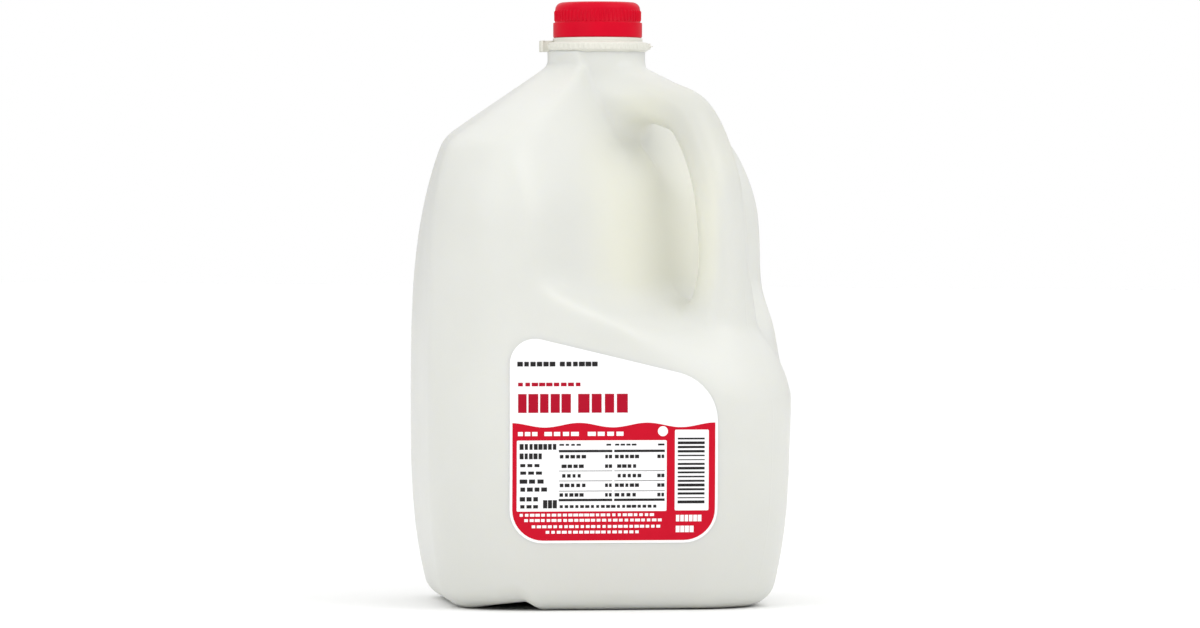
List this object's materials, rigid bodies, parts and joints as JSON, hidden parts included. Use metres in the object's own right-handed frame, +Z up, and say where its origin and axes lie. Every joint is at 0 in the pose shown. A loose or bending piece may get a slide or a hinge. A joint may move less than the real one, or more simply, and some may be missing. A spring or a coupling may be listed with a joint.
{
  "type": "milk jug",
  "caption": "Square blow-moulded plastic milk jug, full, with a grip handle over a finger recess at one corner, a screw cap and a printed front label.",
  "frame": {"origin": "centre of the foot, on the neck's axis, at the height the jug stands on", "axes": "+Z up along the neck; +X towards the body's corner with the handle; the mould halves meet on the XZ plane; the label is on the flat face between -Y and +X"},
  "size_m": [0.1857, 0.1858, 0.254],
  "materials": {
    "jug": "natural translucent high-density polyethylene, milk behind it, satin moulded skin",
    "cap": "red injection-moulded polyethylene, fine upright grip ribs",
    "label": "printed film label, white with a red lower field"
  },
  "bodies": {
    "root": {"jug": "jug", "cap": "cap", "label": "label"}
  },
  "joints": []
}
